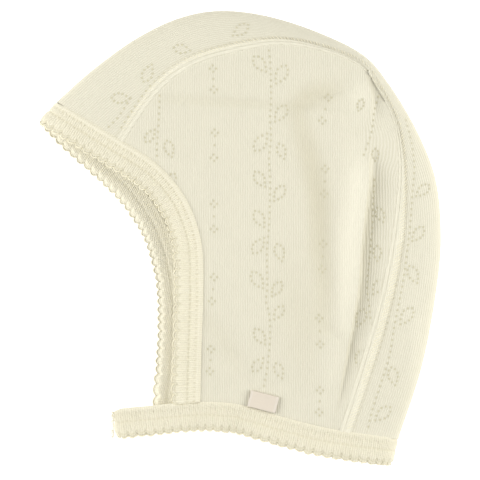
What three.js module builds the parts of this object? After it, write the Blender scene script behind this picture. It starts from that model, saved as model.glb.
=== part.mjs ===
// A baby bonnet lying on its side, in millimetres. +X points to the nape, +Y to the crown and +Z up.
// The bonnet is cloth throughout: each piece is a wall that follows one shared height over the plan,
// upper side and lower side, and bends round the crown, the forehead, the nape and the end of the strap.
import * as THREE from "three";

// Walls and gaps
const FABRIC_THICKNESS = 1.4;
const BAND_THICKNESS = 2.0;
const LABEL_THICKNESS = 1.2;
const SEWN_GAP = 0.3;
const PANEL_GAP = 0.45;

// Colours
const PANEL_COLOUR = 0xf3ecd6;
const BAND_COLOUR = 0xf4edd3;
const LABEL_COLOUR = 0xe2d5c5;

// Bands: their width up to the tips of the scallops, and the scallops
const BAND_WIDTH = 10.4;
const BAND_CROWN = 0.35;
const SCALLOP_PITCH = 3.35;
const SCALLOP_DEPTH = 1.0;
const STEPS_PER_SCALLOP = 3;

// The seam allowance that stands up along the centre panel
const WELT_WIDTH = 4.8;
const WELT_RISE = 0.7;

// The body of air in the bonnet: how high it stands and how far in from a fold it is at full height
const PILLOW_HEIGHT = 16;
const PILLOW_REACH = 42;
const PILLOW_SHAPE = 2.6;
const FOLD_RADIUS = 2.6;
const FACE_DROOP = { drop: 3.2, reach: 30 };
const NECK_DROOP = { drop: 4.6, reach: 26 };

// The fold along the crown, from the forehead to the nape, which is the bonnet's outline
const CROWN_FOLD = [
  { x: -68.6, y: 51.7 },
  { x: -55.3, y: 63.5 },
  { x: -38.1, y: 75.8 },
  { x: -22.3, y: 83.2 },
  { x: -8.4, y: 85.8 },
  { x: 8.8, y: 84.2 },
  { x: 30.2, y: 77.5 },
  { x: 47.3, y: 68.6 },
  { x: 55.9, y: 58.6 },
  { x: 67.3, y: 39.3 },
  { x: 73.7, y: 22.1 },
  { x: 75.6, y: -0.2 },
  { x: 73.7, y: -20.3 },
  { x: 68.4, y: -47.8 },
  { x: 59.6, y: -74.9 },
];

// Where the bands' own folds end, past the two ends of the crown fold
const FOREHEAD_FOLD_END = { x: -75.5, y: 43.9 };
const NAPE_FOLD_END = { x: 56.8, y: -85.4 };

// The edge of the panels along the face band, from the forehead to the neck band, on each side
const FACE_EDGE_UPPER = [
  { x: -68.6, y: 51.7 },
  { x: -57.0, y: 44.4 },
  { x: -44.1, y: 36.5 },
  { x: -32.4, y: 29.0 },
  { x: -24.5, y: 21.1 },
  { x: -18.5, y: 11.3 },
  { x: -14.7, y: -1.3 },
  { x: -14.0, y: -17.4 },
  { x: -14.6, y: -40.3 },
  { x: -15.2, y: -61.0 },
];
const FACE_EDGE_LOWER = [
  { x: -68.6, y: 51.7 },
  { x: -58.8, y: 41.4 },
  { x: -43.2, y: 27.3 },
  { x: -35.2, y: 18.6 },
  { x: -27.5, y: 6.7 },
  { x: -22.8, y: -6.7 },
  { x: -20.6, y: -19.7 },
  { x: -20.6, y: -40.3 },
  { x: -22.6, y: -61.4 },
];

// How far along the face edge the seams start, on both sides
const SEAM_START = 29;

// The seams between the side panels and the centre panel, after their start on the face edge
const SEAM_UPPER = [
  { x: -38.1, y: 45.6 },
  { x: -29.6, y: 56.6 },
  { x: -18.2, y: 65.2 },
  { x: 0.2, y: 71.1 },
  { x: 17.4, y: 73.3 },
  { x: 34.7, y: 69.8 },
  { x: 46.4, y: 64.2 },
  { x: 51.2, y: 57.2 },
  { x: 57.6, y: 44.5 },
  { x: 59.6, y: 29.9 },
  { x: 58.2, y: 8.3 },
  { x: 53.3, y: -19.1 },
  { x: 45.0, y: -48.4 },
  { x: 37.8, y: -71.9 },
];
const SEAM_LOWER = [
  { x: -38.0, y: 43.0 },
  { x: -24.0, y: 52.0 },
  { x: -6.0, y: 57.5 },
  { x: 14.0, y: 53.5 },
  { x: 28.0, y: 44.0 },
  { x: 40.0, y: 28.0 },
  { x: 48.5, y: 5.0 },
  { x: 50.2, y: -15.5 },
  { x: 46.5, y: -41.0 },
  { x: 37.8, y: -71.9 },
];

// The upper edge of the neck band and strap, from the end of the strap to the nape
const NECK_EDGE = [
  { x: -47.3, y: -64.2 },
  { x: -35.5, y: -63.1 },
  { x: -25.7, y: -62.0 },
  { x: -15.2, y: -61.2 },
  { x: -7.7, y: -61.4 },
  { x: 0.2, y: -62.3 },
  { x: 14.4, y: -66.4 },
  { x: 32.3, y: -70.9 },
  { x: 46.1, y: -73.1 },
  { x: 59.6, y: -74.9 },
];

// The overhanging edge of the pleat at the back of the upper side panel, from the crown to the neck,
// with how far the cloth stands over the flat strip between it and the seam
const PLEAT = [
  { x: 45.0, y: 65.0, rise: 0.1 },
  { x: 47.6, y: 52.0, rise: 1.1 },
  { x: 46.7, y: 44.5, rise: 1.9 },
  { x: 48.4, y: 29.5, rise: 2.4 },
  { x: 46.7, y: 7.4, rise: 2.5 },
  { x: 44.8, y: -17.0, rise: 2.3 },
  { x: 41.8, y: -35.8, rise: 1.9 },
  { x: 38.1, y: -57.5, rise: 1.1 },
  { x: 34.6, y: -71.4, rise: 0.4 },
];
const PLEAT_SOFT_SIDE = 13;
const PLEAT_DROP = 1.6;

// Soft dents and swells of the upper side: where, their length and width, their turn in degrees, their rise
const SOFT_FOLDS = [
  { name: "strap_end", x: -50, y: -68, long: 22, wide: 13, turn: 0, rise: -5.6 },
  { name: "valley_top", x: 26.0, y: 49.0, long: 13, wide: 5.5, turn: 80, rise: -1.5 },
  { name: "valley_middle", x: 29.5, y: 28.0, long: 16, wide: 5.5, turn: 105, rise: -1.6 },
  { name: "valley_foot", x: 34.0, y: 7.0, long: 13, wide: 5, turn: 100, rise: -0.9 },
  { name: "dimple_under_seam", x: 34.0, y: 56.0, long: 8, wide: 5, turn: 0, rise: -1.0 },
  { name: "crease_over_temple", x: -16.0, y: 53.5, long: 14, wide: 3, turn: 0, rise: -0.6 },
  { name: "swell_under_crown", x: 4.0, y: 60.0, long: 20, wide: 6, turn: 0, rise: 0.7 },
  { name: "swell_at_nape", x: 63.0, y: -36.0, long: 20, wide: 6, turn: 108, rise: 0.8 },
  { name: "hollow_at_nape", x: 24.0, y: -30.0, long: 22, wide: 9, turn: 100, rise: -0.8 },
];

// The label tab: the middle of its sewn edge, its size and its turn in degrees
const LABEL = { x: 8.6, y: -64.0, width: 11.2, height: 6.6, turn: -14 };

// How finely each piece is divided
const PANEL_ROWS = 26;
const PANEL_COLUMNS = 22;
const LOWER_ROWS = 14;
const LOWER_COLUMNS = 10;
const CENTRE_STEPS = 48;
const CENTRE_ACROSS = 7;

// Curves in plan

const lerp = (a, b, t) => a + (b - a) * t;
const clamp = (v) => Math.min(Math.max(v, 0), 1);
const smooth = (v) => clamp(v) ** 2 * (3 - 2 * clamp(v));
const between = (p, q, t) => ({ x: lerp(p.x, q.x, t), y: lerp(p.y, q.y, t) });
const apart = (p, q) => Math.hypot(q.x - p.x, q.y - p.y);

// A smooth line through a table's rows, read by distance from its start
function smoothLine(rows) {
  const points = rows.map((row) => new THREE.Vector3(row.x, row.y, 0));
  const curve = new THREE.CatmullRomCurve3(points, false, "centripetal");
  curve.arcLengthDivisions = 800;
  const length = curve.getLength();
  return {
    length,
    at: (distance) => curve.getPointAt(clamp(distance / length)),
    along: (distance) => curve.getTangentAt(clamp(distance / length)),
    share: (t) => curve.getPointAt(clamp(t)),
  };
}

const crownFold = smoothLine(CROWN_FOLD);
const faceUpper = smoothLine(FACE_EDGE_UPPER);
const faceLower = smoothLine(FACE_EDGE_LOWER);
const seamUpper = smoothLine([faceUpper.at(SEAM_START), ...SEAM_UPPER]);
const seamLower = smoothLine([faceLower.at(SEAM_START), ...SEAM_LOWER]);
const neckEdge = smoothLine(NECK_EDGE);
const pleatLine = smoothLine(PLEAT);

// The stretch of a line between two distances, as a line of its own read by share
function stretch(line, from, to) {
  return (t) => line.at(lerp(from, to, t));
}

// Points at even steps along a line, for measuring distances to it
function trace(line, steps) {
  return Array.from({ length: steps + 1 }, (_, i) => line.share(i / steps));
}

// The nearest place on a traced line: how far, on which side (left is negative) and at what share
function nearest(traced, x, y) {
  let best = { distance: Infinity, side: 1, share: 0 };
  for (let i = 0; i + 1 < traced.length; i += 1) {
    const a = traced[i];
    const b = traced[i + 1];
    const dx = b.x - a.x;
    const dy = b.y - a.y;
    const t = clamp(((x - a.x) * dx + (y - a.y) * dy) / (dx * dx + dy * dy));
    const distance = Math.hypot(x - a.x - t * dx, y - a.y - t * dy);
    if (distance < best.distance) {
      const side = dx * (y - a.y) - dy * (x - a.x) > 0 ? -1 : 1;
      best = { distance, side, share: (i + t) / (traced.length - 1) };
    }
  }
  return best;
}

const foldTrace = [FOREHEAD_FOLD_END, ...trace(crownFold, 120), NAPE_FOLD_END];
const faceTrace = trace(faceUpper, 60);
const neckTrace = trace(neckEdge, 60);
const pleatTrace = trace(pleatLine, 40);
const seamTrace = trace(seamUpper, 80);

// The neck edge read by x
function neckEdgeAt(x) {
  const after = neckTrace.findIndex((p) => p.x > x);
  const i = after < 0 ? neckTrace.length - 1 : Math.max(after, 1);
  const a = neckTrace[i - 1];
  const b = neckTrace[i];
  return lerp(a.y, b.y, (x - a.x) / (b.x - a.x));
}

// Heights

// The rise of one soft fold at a point
function softFold(fold, x, y) {
  const turn = THREE.MathUtils.degToRad(fold.turn);
  const dx = x - fold.x;
  const dy = y - fold.y;
  const along = (dx * Math.cos(turn) + dy * Math.sin(turn)) / fold.long;
  const across = (dy * Math.cos(turn) - dx * Math.sin(turn)) / fold.wide;
  return fold.rise * Math.exp(-along * along - across * across);
}

// The pleat: a soft slope on the panel's side and a sudden drop on the seam's side, gone at the seam
function pleat(x, y) {
  const seam = nearest(seamTrace, x, y);
  if (seam.side < 0) return 0;
  return pleatShape(x, y) * smooth(seam.distance / 3);
}

function pleatShape(x, y) {
  const found = nearest(pleatTrace, x, y);
  const place = found.share * (PLEAT.length - 1);
  const row = Math.min(Math.floor(place), PLEAT.length - 2);
  const rise = lerp(PLEAT[row].rise, PLEAT[row + 1].rise, place - row);
  if (found.side < 0) return rise * (1 - smooth(found.distance / PLEAT_DROP));
  return rise * Math.exp(-((found.distance / PLEAT_SOFT_SIDE) ** 2));
}

// The height of the cloth's outer face on the upper side
function upperHeight(x, y) {
  const inward = nearest(foldTrace, x, y).distance;
  const share = clamp(inward / PILLOW_REACH);
  const pillow = (1 - (1 - share) ** 2) ** (1 / PILLOW_SHAPE);
  const fromFace = nearest(faceTrace, x, y).distance;
  const fromNeck = nearest(neckTrace, x, y).distance;
  const face = FACE_DROOP.drop * Math.exp(-((fromFace / FACE_DROOP.reach) ** 2));
  const neck = NECK_DROOP.drop * Math.exp(-((fromNeck / NECK_DROOP.reach) ** 2));
  const open = smooth(inward / PILLOW_REACH);
  const soft = SOFT_FOLDS.reduce((sum, fold) => sum + softFold(fold, x, y), 0);
  const cloth = (soft + pleat(x, y)) * smooth(inward / 6);
  return FOLD_RADIUS + (PILLOW_HEIGHT - FOLD_RADIUS) * pillow - (face + neck) * open + cloth;
}

// The height of the outer face on the lower side, which lies flat but for its rounding at a fold
function lowerHeight(inward) {
  const short = Math.max(FOLD_RADIUS - inward, 0);
  return FOLD_RADIUS - Math.sqrt(FOLD_RADIUS ** 2 - short ** 2);
}

// Walls

// Moves each edge of a grid inwards, square to itself in plan, to leave the sewn gap
function drawIn(grid, gap, { rows = false, columns = false }) {
  const nudge = (edge, inside) => {
    const squares = edge.map((_, k) => {
      const before = edge[Math.max(k - 1, 0)];
      const after = edge[Math.min(k + 1, edge.length - 1)];
      return new THREE.Vector3(before.y - after.y, after.x - before.x, 0).normalize();
    });
    // A folded edge turns back, so its inward side changes. Where the rows run nearly along the edge, as in
    // a blunt corner, the side is that of the nearest place before, or else of the first clear one.
    const facing = edge.map((p, k) => squares[k].dot(inside[k].clone().sub(p).normalize()));
    const clear = (value) => Math.abs(value) > 0.5;
    let inwards = Math.sign(facing.find(clear));
    edge.forEach((p, k) => {
      if (clear(facing[k])) inwards = Math.sign(facing[k]);
      p.addScaledVector(squares[k], gap * inwards);
    });
  };
  const column = (j) => grid.map((row) => row[(j + row.length) % row.length]);
  if (rows) {
    nudge(grid[0], grid[1]);
    nudge(grid[grid.length - 1], grid[grid.length - 2]);
  }
  if (columns) {
    nudge(column(0), column(1));
    nudge(column(-1), column(-2));
  }
  return grid;
}

// The inner face of a wall: each point of a grid moved in by the thickness, square to the cloth
function innerFace(grid, thickness, loops = false) {
  const count = grid.length;
  const rowAt = (i) => grid[loops ? (i + count) % count : Math.min(Math.max(i, 0), count - 1)];
  return grid.map((row, i) => row.map((p, j) => {
    const along = rowAt(i + 1)[j].clone().sub(rowAt(i - 1)[j]);
    const across = row[Math.min(j + 1, row.length - 1)].clone().sub(row[Math.max(j - 1, 0)]);
    const outward = across.cross(along).normalize();
    return p.clone().addScaledVector(outward, -thickness);
  }));
}

// The inner face under the upper side's height, each point moved in square to the slope there
function underUpperHeight(grid, thickness) {
  const step = 0.5;
  return grid.map((row) => row.map((p) => {
    const slopeX = (upperHeight(p.x + step, p.y) - upperHeight(p.x - step, p.y)) / (2 * step);
    const slopeY = (upperHeight(p.x, p.y + step) - upperHeight(p.x, p.y - step)) / (2 * step);
    const outward = new THREE.Vector3(-slopeX, -slopeY, 1).normalize();
    return p.clone().addScaledVector(outward, -thickness);
  }));
}

// A closed wall between an outer and an inner grid. A grid that loops has no first or last row.
function wall(name, outer, inner, { loops = false, colour = PANEL_COLOUR } = {}) {
  const width = outer[0].length;
  const count = outer.length;
  const positions = [...outer.flat(), ...inner.flat()].flatMap((p) => [p.x, p.y, p.z]);
  const out = (i, j) => (i % count) * width + j;
  const inn = (i, j) => count * width + out(i, j);
  const index = [];
  const quad = (a, b, c, d) => index.push(a, b, c, a, c, d);
  const rows = loops ? count : count - 1;
  for (let i = 0; i < rows; i += 1) {
    for (let j = 0; j + 1 < width; j += 1) {
      quad(out(i, j), out(i, j + 1), out(i + 1, j + 1), out(i + 1, j));
      quad(inn(i, j), inn(i + 1, j), inn(i + 1, j + 1), inn(i, j + 1));
    }
    quad(out(i, 0), out(i + 1, 0), inn(i + 1, 0), inn(i, 0));
    quad(out(i + 1, width - 1), out(i, width - 1), inn(i, width - 1), inn(i + 1, width - 1));
  }
  for (let j = 0; j + 1 < width && !loops; j += 1) {
    quad(out(0, j + 1), out(0, j), inn(0, j), inn(0, j + 1));
    quad(out(rows, j), out(rows, j + 1), inn(rows, j + 1), inn(rows, j));
  }
  const geometry = new THREE.BufferGeometry();
  geometry.setAttribute("position", new THREE.Float32BufferAttribute(positions, 3));
  geometry.setIndex(index);
  geometry.computeVertexNormals();
  const material = new THREE.MeshStandardMaterial({ color: colour, roughness: 0.95, metalness: 0 });
  const mesh = new THREE.Mesh(geometry, material);
  mesh.name = name;
  return mesh;
}

// A four-sided patch in plan between four lines that are read by share
function patch(left, right, bottom, top, s, t) {
  const sides = [left(t), right(t), bottom(s), top(s)];
  const corners = [left(0), right(0), left(1), right(1)];
  const mix = (axis) => (1 - s) * sides[0][axis] + s * sides[1][axis]
    + (1 - t) * sides[2][axis] + t * sides[3][axis]
    - (1 - s) * (1 - t) * corners[0][axis] - s * (1 - t) * corners[1][axis]
    - (1 - s) * t * corners[2][axis] - s * t * corners[3][axis];
  return { x: mix("x"), y: mix("y") };
}

// The distance along a line at which it comes nearest to a point
function placeOn(line, steps, point) {
  return nearest(trace(line, steps), point.x, point.y).share * line.length;
}

// The upper side panel: one patch up to the pleat, and the flat strip between the pleat and the seam
function upperPanel() {
  const seamAtPleat = placeOn(seamUpper, 400, PLEAT[0]);
  const seamCorner = placeOn(seamUpper, 400, { x: 49.4, y: 60.5 });
  const neckStart = placeOn(neckEdge, 400, faceUpper.at(faceUpper.length));
  const neckAtPleat = placeOn(neckEdge, 400, PLEAT[PLEAT.length - 1]);
  const neckEnd = placeOn(neckEdge, 400, seamUpper.at(seamUpper.length));
  const left = stretch(faceUpper, faceUpper.length, SEAM_START);
  const bottom = stretch(neckEdge, neckStart, neckAtPleat);
  const top = stretch(seamUpper, 0, seamAtPleat);
  const topStrip = stretch(seamUpper, seamAtPleat, seamCorner);
  const bottomStrip = stretch(neckEdge, neckAtPleat, neckEnd);
  const seamSide = stretch(seamUpper, seamUpper.length, seamCorner);
  const pleatSide = (t) => {
    const p = pleatLine.share(1 - t);
    const low = between(p, bottom(1), smooth(1 - t * 12));
    return between(low, top(1), smooth(1 - (1 - t) * 12));
  };
  const stripShares = [0, 0.3, 0.65, 1];
  const rows = Array.from({ length: PANEL_ROWS + 1 }, (_, i) => {
    const t = i / PANEL_ROWS;
    const plan = Array.from({ length: PANEL_COLUMNS + 1 }, (_unused, j) => {
      const s = 1 - (1 - j / PANEL_COLUMNS) ** 1.25;
      return patch(left, pleatSide, bottom, top, s, t);
    });
    const strip = stripShares.slice(1).map(
      (s) => patch(pleatSide, seamSide, bottomStrip, topStrip, s, t));
    return [...plan, ...strip].map((p) => new THREE.Vector3(p.x, p.y, 0));
  });
  drawIn(rows, PANEL_GAP, { rows: true, columns: true });
  rows.flat().forEach((p) => p.setZ(upperHeight(p.x, p.y)));
  return wall("side_panel_upper", rows, underUpperHeight(rows, FABRIC_THICKNESS));
}

// The lower side panel lies flat, so its outer face is the plane that the bonnet rests on
function lowerPanel() {
  const seamCorner = placeOn(seamLower, 400, SEAM_LOWER[4]);
  const neckStart = placeOn(neckEdge, 400, faceLower.at(faceLower.length));
  const neckEnd = placeOn(neckEdge, 400, seamLower.at(seamLower.length));
  const left = stretch(faceLower, SEAM_START, faceLower.length);
  const right = stretch(seamLower, seamCorner, seamLower.length);
  const top = stretch(seamLower, 0, seamCorner);
  const bottom = stretch(neckEdge, neckStart, neckEnd);
  const rows = Array.from({ length: LOWER_ROWS + 1 }, (_, i) =>
    Array.from({ length: LOWER_COLUMNS + 1 }, (_unused, j) => {
      const p = patch(left, right, top, bottom, j / LOWER_COLUMNS, i / LOWER_ROWS);
      return new THREE.Vector3(p.x, p.y, 0);
    }));
  drawIn(rows, PANEL_GAP, { rows: true, columns: true });
  return wall("side_panel_lower", rows, innerFace(rows, FABRIC_THICKNESS));
}

// The centre panel from the lower seam round the fold to the upper seam, with the raised seam allowance
function centrePanel() {
  const foldEase = 2;
  const endFade = 0.08;
  const roundSteps = 3;
  const flatSteps = 3;
  const sides = {
    upper: { seam: seamUpper, face: faceUpper },
    lower: { seam: seamLower, face: faceLower },
  };
  const neckFromNape = (distance) => neckEdge.at(neckEdge.length - distance);
  // A point of a section, by its share of the way from the fold to the seam. The first and last sections
  // follow the edges of the two bands, which are not quite straight.
  const planAt = (side, t, share) => {
    const { seam, face } = sides[side];
    const fold = crownFold.share(t);
    const end = seam.share(t);
    const p = between(fold, end, share);
    const startWay = between(crownFold.share(0), seam.share(0), share);
    const endWay = between(crownFold.share(1), seam.share(1), share);
    const onFace = face.at(share * SEAM_START);
    const onNeck = neckFromNape(share * apart(crownFold.share(1), seam.share(1)));
    const atStart = smooth(1 - t / endFade);
    const atEnd = smooth(1 - (1 - t) / endFade);
    return {
      x: p.x + atStart * (onFace.x - startWay.x) + atEnd * (onNeck.x - endWay.x),
      y: p.y + atStart * (onFace.y - startWay.y) + atEnd * (onNeck.y - endWay.y),
    };
  };
  const rows = Array.from({ length: CENTRE_STEPS + 1 }, (_, i) => {
    const t = i / CENTRE_STEPS;
    const lowerWidth = apart(crownFold.share(t), seamLower.share(t));
    const upperWidth = apart(crownFold.share(t), seamUpper.share(t));
    const lower = [];
    for (let k = 0; k < flatSteps; k += 1) {
      const share = lerp(1, FOLD_RADIUS / lowerWidth, k / flatSteps);
      lower.push({ ...planAt("lower", t, share), z: 0 });
    }
    for (let k = 0; k < roundSteps; k += 1) {
      const inward = FOLD_RADIUS * (1 - Math.sin(((k / roundSteps) * Math.PI) / 2));
      lower.push({ ...planAt("lower", t, inward / lowerWidth), z: lowerHeight(inward) });
    }
    const upper = Array.from({ length: CENTRE_ACROSS + 1 }, (_unused, k) => {
      const share = (k / CENTRE_ACROSS) ** foldEase;
      const p = planAt("upper", t, share);
      const fromSeam = (1 - share) * upperWidth;
      const welt = WELT_RISE * (1 - smooth((fromSeam - WELT_WIDTH + 0.8) / 0.8));
      const clear = smooth((share * upperWidth) / 3);
      return { ...p, z: upperHeight(p.x, p.y), welt: welt * clear };
    });
    return [...lower, ...upper];
  });
  const cloth = rows.map((row) => row.map((p) => new THREE.Vector3(p.x, p.y, p.z)));
  drawIn(cloth, PANEL_GAP, { rows: true });
  const outer = cloth.map((row, i) => row.map((p, j) => {
    const { welt = 0 } = rows[i][j];
    return p.clone().setZ(p.z + welt);
  }));
  const inner = innerFace(cloth, FABRIC_THICKNESS);
  const sewn = underUpperHeight(cloth.map((row) => row.slice(-1)), FABRIC_THICKNESS);
  inner.forEach((row, i) => row.splice(-1, 1, sewn[i][0]));
  return wall("centre_panel", outer, inner);
}

// Bands

// The places along a band's sewn edge, evenly spaced, in the order that the band is walked. Each leg
// walks one side, and starts or ends at a fold, where the places crowd so that the turn is round.
function bandPlaces(legs, steps) {
  return legs.flatMap(({ side, line, folds, forward }) => {
    const easing = (t) => {
      if (folds === "both") return (1 - Math.cos(t * Math.PI)) / 2;
      return folds === "start" ? t ** 1.5 : 1 - (1 - t) ** 1.5;
    };
    const places = Array.from({ length: steps }, (_, i) => {
      const t = (i + 0.5) / steps;
      const distance = easing(t) * line.length;
      return { side, line, distance };
    });
    return forward ? places : places.reverse();
  });
}

// A band as a grid of stations along it, five points across its outer face
function bandGrid(places, shape, { loops }) {
  const base = places.map(({ side, line, distance }) => {
    const p = line.at(distance);
    const tangent = line.along(distance);
    const square = { x: tangent.y, y: -tangent.x };
    const { start, end } = shape.foldWays;
    const reach = 9;
    const atStart = start ? smooth(1 - distance / reach) : 0;
    const atEnd = end ? smooth(1 - (line.length - distance) / reach) : 0;
    const target = start && atStart > 0 ? start : end ?? square;
    const mix = Math.max(atStart, atEnd);
    const way = new THREE.Vector2(lerp(square.x, target.x, mix), lerp(square.y, target.y, mix));
    way.normalize();
    return { side, line, distance, p, way };
  });
  const heights = base.map((b) => shape.height(b, b.p.x, b.p.y));
  const lengths = [0];
  const next = (i) => (i + 1) % base.length;
  const spans = loops ? base.length : base.length - 1;
  for (let i = 0; i < spans; i += 1) {
    const step = Math.hypot(apart(base[i].p, base[next(i)].p), heights[next(i)] - heights[i]);
    lengths.push(lengths[i] + step);
  }
  const total = lengths[spans];
  const scallops = Math.round(total / SCALLOP_PITCH);
  const stations = scallops * STEPS_PER_SCALLOP;
  const count = loops ? stations : stations + 1;
  let i = 0;
  return Array.from({ length: count }, (_, k) => {
    const at = (k / stations) * total;
    while (i + 1 < spans && lengths[i + 1] < at) i += 1;
    const a = base[i];
    const b = base[next(i)];
    const t = clamp((at - lengths[i]) / (lengths[i + 1] - lengths[i]));
    const valley = k % STEPS_PER_SCALLOP === 0;
    const width = BAND_WIDTH - (valley ? SCALLOP_DEPTH : 0);
    const point = (share) => {
      const ends = [a, b].map((e) => {
        const x = e.p.x + e.way.x * width * share;
        const y = e.p.y + e.way.y * width * share;
        return new THREE.Vector3(x, y, shape.height(e, x, y, share));
      });
      return ends[0].lerp(ends[1], t);
    };
    return shape.across.map(point);
  });
}

// The height of a band's outer face: a little prouder than the panels on the upper side
function bandHeight(place, x, y, share, inward) {
  if (place.side === "lower") return lowerHeight(inward);
  const proud = BAND_THICKNESS - FABRIC_THICKNESS + BAND_CROWN * Math.sin(Math.PI * (share ?? 0));
  return upperHeight(x, y) + proud * smooth(inward / 4);
}

const BAND_ACROSS = [0, 0.5, 1];

// The face band runs from its lower end on the lower side up to the forehead and down the upper side
function faceBand() {
  const way = new THREE.Vector2(FOREHEAD_FOLD_END.x - CROWN_FOLD[0].x, FOREHEAD_FOLD_END.y - CROWN_FOLD[0].y);
  const places = bandPlaces([
    { side: "lower", line: faceLower, folds: "start", forward: false },
    { side: "upper", line: faceUpper, folds: "start", forward: true },
  ], 260);
  const grid = bandGrid(places, {
    foldWays: { start: way.normalize() },
    across: BAND_ACROSS,
    height: (place, x, y, share) => bandHeight(place, x, y, share, place.distance),
  }, { loops: false });
  for (const row of [grid[0], grid[grid.length - 1]]) {
    row.forEach((p) => p.setY(neckEdgeAt(p.x) + SEWN_GAP));
  }
  return wall("face_band", grid, innerFace(grid, BAND_THICKNESS), { colour: BAND_COLOUR });
}

// The neck band and strap: one loop along the upper side from the end of the strap to the nape, and back
function neckBand() {
  const nape = new THREE.Vector2(NAPE_FOLD_END.x - CROWN_FOLD[14].x, NAPE_FOLD_END.y - CROWN_FOLD[14].y);
  const places = bandPlaces([
    { side: "upper", line: neckEdge, folds: "both", forward: true },
    { side: "lower", line: neckEdge, folds: "both", forward: false },
  ], 260);
  const height = (place, x, y, share) => {
    const fromStrapEnd = place.distance;
    const fromNape = place.line.length - place.distance;
    if (place.side === "lower") return lowerHeight(Math.min(fromStrapEnd, fromNape));
    const flat = bandHeight(place, x, y, share, fromNape);
    const round = Math.sqrt(1 - Math.max(1 - fromStrapEnd / FOLD_RADIUS, 0) ** 2);
    return FOLD_RADIUS + (flat - FOLD_RADIUS) * round;
  };
  const grid = bandGrid(places, {
    foldWays: { end: nape.normalize() },
    across: BAND_ACROSS,
    height,
  }, { loops: true });
  const inner = innerFace(grid, BAND_THICKNESS, true);
  return wall("neck_band_with_chin_strap", grid, inner, { loops: true, colour: BAND_COLOUR });
}

// The label tab: a tape folded double, its fold up and its cut ends at the neck band
function labelTab() {
  const across = 6;
  const up = 5;
  const turn = THREE.MathUtils.degToRad(LABEL.turn);
  const seat = SEWN_GAP + LABEL_THICKNESS;
  const rows = Array.from({ length: up + 1 }, (_, i) => Array.from({ length: across + 1 }, (_unused, j) => {
    const u = (j / across - 0.5) * LABEL.width;
    const v = SEWN_GAP + (i / up) * LABEL.height;
    const x = LABEL.x + u * Math.cos(turn) - v * Math.sin(turn);
    const y = LABEL.y + u * Math.sin(turn) + v * Math.cos(turn);
    const round = i === up ? 0.25 : 0;
    return new THREE.Vector3(x, y, upperHeight(x, y) + seat - round);
  }));
  return wall("label_tab", rows, innerFace(rows, LABEL_THICKNESS), { colour: LABEL_COLOUR });
}

// The whole bonnet, moved so that its origin is at the middle of the surface that it rests on
const pieces = new THREE.Group();
pieces.name = "baby_bonnet";
pieces.add(upperPanel(), lowerPanel(), centrePanel(), faceBand(), neckBand(), labelTab());
const box = new THREE.Box3().setFromObject(pieces);
pieces.position.set(-(box.min.x + box.max.x) / 2, -(box.min.y + box.max.y) / 2, -box.min.z);

export default pieces;
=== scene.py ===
"""A knitted baby bonnet lying on its side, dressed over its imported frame.

Lengths in the tables are in millimetres, in the plan in which the bonnet lies: +X to the nape and +Y to the
crown. place() takes them to the shared frame, in metres.
"""
import math

import bpy
import numpy as np
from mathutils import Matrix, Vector
from mathutils.kdtree import KDTree


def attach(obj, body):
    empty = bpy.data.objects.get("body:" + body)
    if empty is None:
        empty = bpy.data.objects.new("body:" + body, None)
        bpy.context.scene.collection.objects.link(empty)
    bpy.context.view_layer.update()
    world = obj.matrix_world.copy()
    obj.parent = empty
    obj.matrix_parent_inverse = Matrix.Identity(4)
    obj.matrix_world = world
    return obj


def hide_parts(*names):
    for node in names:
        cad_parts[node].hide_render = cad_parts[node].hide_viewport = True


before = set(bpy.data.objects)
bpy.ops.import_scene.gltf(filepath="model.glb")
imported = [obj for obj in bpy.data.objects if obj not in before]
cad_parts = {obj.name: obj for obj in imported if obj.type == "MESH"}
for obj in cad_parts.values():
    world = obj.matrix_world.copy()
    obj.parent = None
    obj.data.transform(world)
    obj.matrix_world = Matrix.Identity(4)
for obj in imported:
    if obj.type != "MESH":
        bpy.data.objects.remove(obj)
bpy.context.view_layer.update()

MM = 0.001

# The shared frame's origin in the tables' plan
ORIGIN = (0.059, 0.428)

# Walls
FABRIC_THICKNESS = 1.4
BAND_THICKNESS = 2.0
SEAM_GAP = 0.08
LIP = 0.5

# Bands and their scallops
BAND_WIDTH = 10.4
SCALLOP_PITCH = 3.35
SCALLOP_DEPTH = 1.2
RIB_PITCH = 0.88
RIB_HEIGHT = 0.16
GROOVE_AT = 4.5
GROOVE_REACH = 0.4
ARC_AT = 0.8
ARC_REACH = 0.28
PRICK_AT = 1.9
PRICK_PITCH = 1.7
PRICK_REACH = 0.33
CORD_RADIUS = 0.33

# Each band's groove depth, roll of the sewn edge, depth of the needle pricks and where its ribs start
FACE_STYLE = (0.38, 0.28, 0.2, 0.9)
NECK_STYLE = (0.2, 0.08, 0.08, -0.4)

# The seam allowance that stands up along the centre panel
ROLL_WIDTH = 1.8
ROLL_RISE = 0.3
RIDGE_RISE = 0.25
STITCH_PITCH = 1.2
STITCH_RADIUS = 0.13
STITCH_SLANT = 0.9
NEEDLE_PITCH = 2.3
NEEDLE_REACH = 0.5
GUTTER_REACH = 0.8

# Random relief: rise in millimetres, or shift of the ribs in radians, wave length and seed
CLOTH_WAVES = [(0.12, 17, 1), (0.04, 7, 2)]
EDGE_WAVES = [(0.2, 4.3, 5)]
RIB_WAVES = [(0.9, 2.6, 6), (0.5, 1.1, 7)]
FLEECE_WAVES = [(0.09, 1.3, 8), (0.07, 3.1, 9)]
GROOVE_WAVES = [(0.12, 6, 4)]

# How far the cloth is pressed down beside the seam, the face band and the neck band: depth and reach
PRESSED = [(0.05, 1.0), (0.1, 1.2), (0.24, 1.2)]

# The knit
WALE_PITCH = 0.86
COURSE_PITCH = 0.62
EYELET_PITCH = 2.25
EYELET_WIDE = 0.34
EYELET_LONG = 0.46
EYELET_YARN = 0.07
DENT_RADIUS = 0.5
DENT_DEPTH = 0.1

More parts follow.
